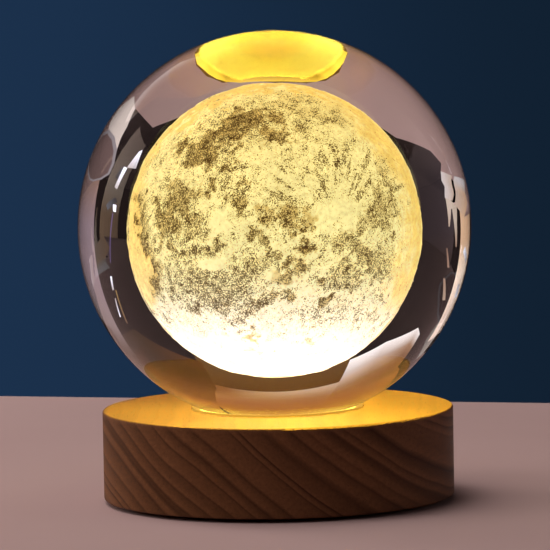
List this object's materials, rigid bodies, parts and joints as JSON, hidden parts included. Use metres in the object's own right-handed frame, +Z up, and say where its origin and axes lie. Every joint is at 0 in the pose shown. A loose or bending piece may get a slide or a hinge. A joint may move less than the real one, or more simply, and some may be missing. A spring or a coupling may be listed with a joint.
{
  "type": "crystal ball night light",
  "caption": "Clear glass ball with a moon engraved inside it, resting in the dished seat of a low round turned-wood base that lights it from below; socket and push button at the rear.",
  "frame": {"origin": "on the table plane, under the centre of the base", "axes": "+Z up through the ball's centre, -Y to the front as pictured, +Y to the socket and button"},
  "size_m": [0.08, 0.08, 0.0957],
  "materials": {
    "crystal_glass": "polished clear optical glass",
    "engraved_glass": "glass full of fine engraved points",
    "turned_wood": "turned and oiled, open diagonal grain",
    "frosted_plastic": "frosted, lit from below",
    "board_laminate": "white solder mask on laminate",
    "lamp_housing": "moulded white",
    "lamp_phosphor": "yellow phosphor gel",
    "chip_ceramic": "fired black glaze",
    "screw_steel": "zinc plated",
    "socket_steel": "drawn stainless",
    "socket_plastic": "moulded black",
    "contact_brass": "gold plated",
    "switch_plastic": "moulded black",
    "tinned_metal": "tinned",
    "spring_steel": "drawn wire",
    "plunger_plastic": "moulded white",
    "button_plastic": "moulded, satin",
    "panel_plastic": "moulded, fine texture",
    "wire_red": "extruded insulation",
    "wire_black": "extruded insulation",
    "cover_plastic": "moulded, fine texture",
    "foot_rubber": "matt"
  },
  "bodies": {
    "base": {"wood_base": "turned_wood", "diffuser_disc": "frosted_plastic", "lamp_board": "board_laminate", "led_packages": "lamp_housing", "led_phosphors": "lamp_phosphor", "ballast_resistors": "chip_ceramic", "lamp_board_screws": "screw_steel", "inlet_board": "board_laminate", "inlet_board_screws": "screw_steel", "socket_shell": "socket_steel", "socket_core": "socket_plastic", "socket_contacts": "contact_brass", "switch_housing": "switch_plastic", "switch_rear_cap": "switch_plastic", "switch_terminals": "tinned_metal", "switch_spring": "spring_steel", "rear_panel": "panel_plastic", "panel_screws": "screw_steel", "positive_wire": "wire_red", "negative_wire": "wire_black", "bottom_cover": "cover_plastic", "cover_screws": "screw_steel", "rubber_feet": "foot_rubber"},
    "ball": {"crystal_ball": "crystal_glass", "engraved_moon": "engraved_glass"},
    "button": {"button_cap": "button_plastic", "switch_plunger": "plunger_plastic"}
  },
  "joints": [
    {"name": "ball_lift", "type": "slide", "parent": "base", "child": "ball", "axis": [0, 0, 1], "range_m": [0, 0.06]},
    {"name": "button_press", "type": "slide", "parent": "base", "child": "button", "axis": [0, -1, 0], "range_m": [0, 0.0012], "stiffness_N_per_m": 500, "springref_m": -0.001, "deforming": ["switch_spring"]}
  ]
}
